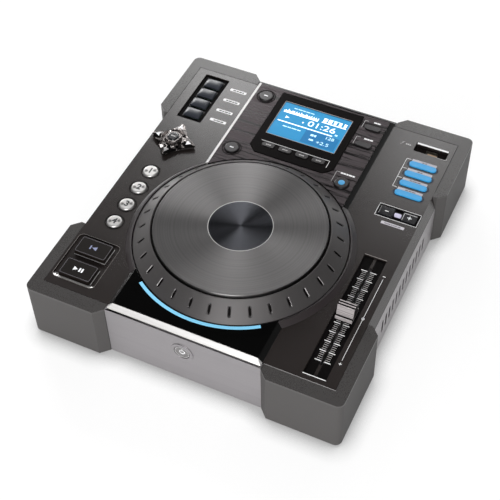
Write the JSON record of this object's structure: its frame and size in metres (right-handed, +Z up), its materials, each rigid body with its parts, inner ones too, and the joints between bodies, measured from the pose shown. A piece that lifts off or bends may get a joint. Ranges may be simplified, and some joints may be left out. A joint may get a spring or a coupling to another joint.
{
  "type": "tabletop dj player",
  "caption": "Tabletop DJ media player with a jog platter, display, pads, keys and a pitch fader in a low case with corner guards.",
  "frame": {"origin": "middle of the footprint, at the underside of the feet", "axes": "+X to the right, +Y to the rear with the sockets, +Z up"},
  "size_m": [0.34, 0.378, 0.0953],
  "materials": {
    "black_steel": "powder coated sheet steel",
    "silver_plate": "fine brushed, satin",
    "guard_plastic": "fine moulded grain, metallic grey",
    "cover_plastic": "fine moulded grain, dark grey",
    "brushed_panel": "black anodised, brushed along the width",
    "bright_trim": "polished",
    "gloss_black": "high gloss",
    "collar_plastic": "satin",
    "light_pipe": "clear blue, lit",
    "screen": "lit blue liquid crystal display",
    "jog_metal": "satin, dark grey",
    "disc_metal": "turned in fine circles, dark grey",
    "label_plastic": "gloss",
    "bare_steel": "turned",
    "board": "circuit board with parts",
    "pad_rubber": "satin",
    "key_black": "gloss",
    "key_silver": "satin chrome with a raised sign",
    "key_grey": "satin dark grey",
    "key_blue": "lit blue",
    "knob_metal": "satin",
    "socket_metal": "plated",
    "foot_rubber": "matte"
  },
  "bodies": {
    "case": {"base_pan": "black_steel", "front_plate": "silver_plate", "rear_panel": "black_steel", "side_plate_left": "silver_plate", "side_plate_right": "silver_plate", "guard_front_left": "guard_plastic", "guard_front_right": "guard_plastic", "guard_rear_left": "guard_plastic", "guard_rear_right": "guard_plastic", "cover_left": "cover_plastic", "cover_right": "cover_plastic", "centre_panel": "brushed_panel", "bright_trims": "bright_trim", "dark_trim": "gloss_black", "front_deck": "gloss_black", "platter_collar": "collar_plastic", "light_arc": "light_pipe", "display_bezel": "gloss_black", "display_screen": "screen", "main_board": "board", "switch_boards": "board", "bearing_housing": "bare_steel", "fader_body": "bare_steel", "usb_socket": "socket_metal", "rear_sockets": "socket_metal", "feet": "foot_rubber"},
    "platter": {"jog_ring": "jog_metal", "jog_disc": "disc_metal", "jog_label": "label_plastic", "jog_hub": "bare_steel"},
    "pad_1": {"pad_1": "pad_rubber"},
    "pad_2": {"pad_2": "pad_rubber"},
    "pad_3": {"pad_3": "pad_rubber"},
    "pad_4": {"pad_4": "pad_rubber"},
    "nav_gimbal": {"nav_gimbal": "bare_steel"},
    "nav_star": {"nav_star": "key_black"},
    "nav_button": {"nav_button": "key_black"},
    "number_key_1": {"number_key_1": "key_silver"},
    "number_key_2": {"number_key_2": "key_silver"},
    "number_key_3": {"number_key_3": "key_silver"},
    "number_key_4": {"number_key_4": "key_silver"},
    "cue_button": {"cue_button": "key_black"},
    "play_button": {"play_button": "key_black"},
    "soft_key_1": {"soft_key_1": "key_grey"},
    "soft_key_2": {"soft_key_2": "key_grey"},
    "soft_key_3": {"soft_key_3": "key_grey"},
    "soft_key_4": {"soft_key_4": "key_grey"},
    "round_key_rear": {"round_key_rear": "key_grey"},
    "round_key_front": {"round_key_front": "key_grey"},
    "long_key_rear": {"long_key_rear": "key_grey"},
    "long_key_front": {"long_key_front": "key_grey"},
    "jog_mode_key": {"jog_mode_key": "key_grey"},
    "oval_key_1": {"oval_key_1": "key_blue"},
    "oval_key_2": {"oval_key_2": "key_blue"},
    "oval_key_3": {"oval_key_3": "key_blue"},
    "oval_key_4": {"oval_key_4": "key_blue"},
    "bend_down_key": {"bend_down_key": "key_black"},
    "bend_up_key": {"bend_up_key": "key_black"},
    "fader_knob": {"fader_knob": "knob_metal"},
    "power_button": {"power_button": "knob_metal"}
  },
  "joints": [
    {"name": "platter_spin", "type": "hinge", "parent": "case", "child": "platter", "pos_m": [0, -0.046, 0.0911], "axis": [0, 0, 1], "continuous": true},
    {"name": "pad_1_press", "type": "slide", "parent": "case", "child": "pad_1", "axis": [0, 0, -1], "range_m": [0, 0.001], "stiffness_N_per_m": 400},
    {"name": "pad_2_press", "type": "slide", "parent": "case", "child": "pad_2", "axis": [0, 0, -1], "range_m": [0, 0.001], "stiffness_N_per_m": 400},
    {"name": "pad_3_press", "type": "slide", "parent": "case", "child": "pad_3", "axis": [0, 0, -1], "range_m": [0, 0.001], "stiffness_N_per_m": 400},
    {"name": "pad_4_press", "type": "slide", "parent": "case", "child": "pad_4", "axis": [0, 0, -1], "range_m": [0, 0.001], "stiffness_N_per_m": 400},
    {"name": "number_key_1_press", "type": "slide", "parent": "case", "child": "number_key_1", "axis": [0, 0, -1], "range_m": [0, 0.001], "stiffness_N_per_m": 400},
    {"name": "number_key_2_press", "type": "slide", "parent": "case", "child": "number_key_2", "axis": [0, 0, -1], "range_m": [0, 0.001], "stiffness_N_per_m": 400},
    {"name": "number_key_3_press", "type": "slide", "parent": "case", "child": "number_key_3", "axis": [0, 0, -1], "range_m": [0, 0.001], "stiffness_N_per_m": 400},
    {"name": "number_key_4_press", "type": "slide", "parent": "case", "child": "number_key_4", "axis": [0, 0, -1], "range_m": [0, 0.001], "stiffness_N_per_m": 400},
    {"name": "cue_button_press", "type": "slide", "parent": "case", "child": "cue_button", "axis": [0, 0, -1], "range_m": [0, 0.001], "stiffness_N_per_m": 400},
    {"name": "play_button_press", "type": "slide", "parent": "case", "child": "play_button", "axis": [0, 0, -1], "range_m": [0, 0.001], "stiffness_N_per_m": 400},
    {"name": "soft_key_1_press", "type": "slide", "parent": "case", "child": "soft_key_1", "axis": [0, 0, -1], "range_m": [0, 0.001], "stiffness_N_per_m": 400},
    {"name": "soft_key_2_press", "type": "slide", "parent": "case", "child": "soft_key_2", "axis": [0, 0, -1], "range_m": [0, 0.001], "stiffness_N_per_m": 400},
    {"name": "soft_key_3_press", "type": "slide", "parent": "case", "child": "soft_key_3", "axis": [0, 0, -1], "range_m": [0, 0.001], "stiffness_N_per_m": 400},
    {"name": "soft_key_4_press", "type": "slide", "parent": "case", "child": "soft_key_4", "axis": [0, 0, -1], "range_m": [0, 0.001], "stiffness_N_per_m": 400},
    {"name": "round_key_rear_press", "type": "slide", "parent": "case", "child": "round_key_rear", "axis": [0, 0, -1], "range_m": [0, 0.001], "stiffness_N_per_m": 400},
    {"name": "round_key_front_press", "type": "slide", "parent": "case", "child": "round_key_front", "axis": [0, 0, -1], "range_m": [0, 0.001], "stiffness_N_per_m": 400},
    {"name": "long_key_rear_press", "type": "slide", "parent": "case", "child": "long_key_rear", "axis": [0, 0, -1], "range_m": [0, 0.001], "stiffness_N_per_m": 400},
    {"name": "long_key_front_press", "type": "slide", "parent": "case", "child": "long_key_front", "axis": [0, 0, -1], "range_m": [0, 0.001], "stiffness_N_per_m": 400},
    {"name": "jog_mode_key_press", "type": "slide", "parent": "case", "child": "jog_mode_key", "axis": [0, 0, -1], "range_m": [0, 0.001], "stiffness_N_per_m": 400},
    {"name": "oval_key_1_press", "type": "slide", "parent": "case", "child": "oval_key_1", "axis": [0, 0, -1], "range_m": [0, 0.001], "stiffness_N_per_m": 400},
    {"name": "oval_key_2_press", "type": "slide", "parent": "case", "child": "oval_key_2", "axis": [0, 0, -1], "range_m": [0, 0.001], "stiffness_N_per_m": 400},
    {"name": "oval_key_3_press", "type": "slide", "parent": "case", "child": "oval_key_3", "axis": [0, 0, -1], "range_m": [0, 0.001], "stiffness_N_per_m": 400},
    {"name": "oval_key_4_press", "type": "slide", "parent": "case", "child": "oval_key_4", "axis": [0, 0, -1], "range_m": [0, 0.001], "stiffness_N_per_m": 400},
    {"name": "bend_down_key_press", "type": "slide", "parent": "case", "child": "bend_down_key", "axis": [0, 0, -1], "range_m": [0, 0.001], "stiffness_N_per_m": 400},
    {"name": "bend_up_key_press", "type": "slide", "parent": "case", "child": "bend_up_key", "axis": [0, 0, -1], "range_m": [0, 0.001], "stiffness_N_per_m": 400},
    {"name": "nav_rock_front_rear", "type": "hinge", "parent": "case", "child": "nav_gimbal", "pos_m": [-0.12845, 0.0515, 0.064], "axis": [1, 0, 0], "range_deg": [-3, 3], "stiffness_Nm_per_rad": 0.6},
    {"name": "nav_rock_left_right", "type": "hinge", "parent": "nav_gimbal", "child": "nav_star", "pos_m": [-0.12845, 0.0515, 0.064], "axis": [0, 1, 0], "range_deg": [-3, 3], "stiffness_Nm_per_rad": 0.6},
    {"name": "nav_button_press", "type": "slide", "parent": "nav_star", "child": "nav_button", "axis": [0, 0, -1], "range_m": [0, 0.001], "stiffness_N_per_m": 400},
    {"name": "pitch_slide", "type": "slide", "parent": "case", "child": "fader_knob", "axis": [0, 1, 0], "range_m": [-0.058, 0.058]},
    {"name": "power_button_press", "type": "slide", "parent": "case", "child": "power_button", "axis": [0, 1, 0], "range_m": [0, 0.0015], "stiffness_N_per_m": 400}
  ]
}
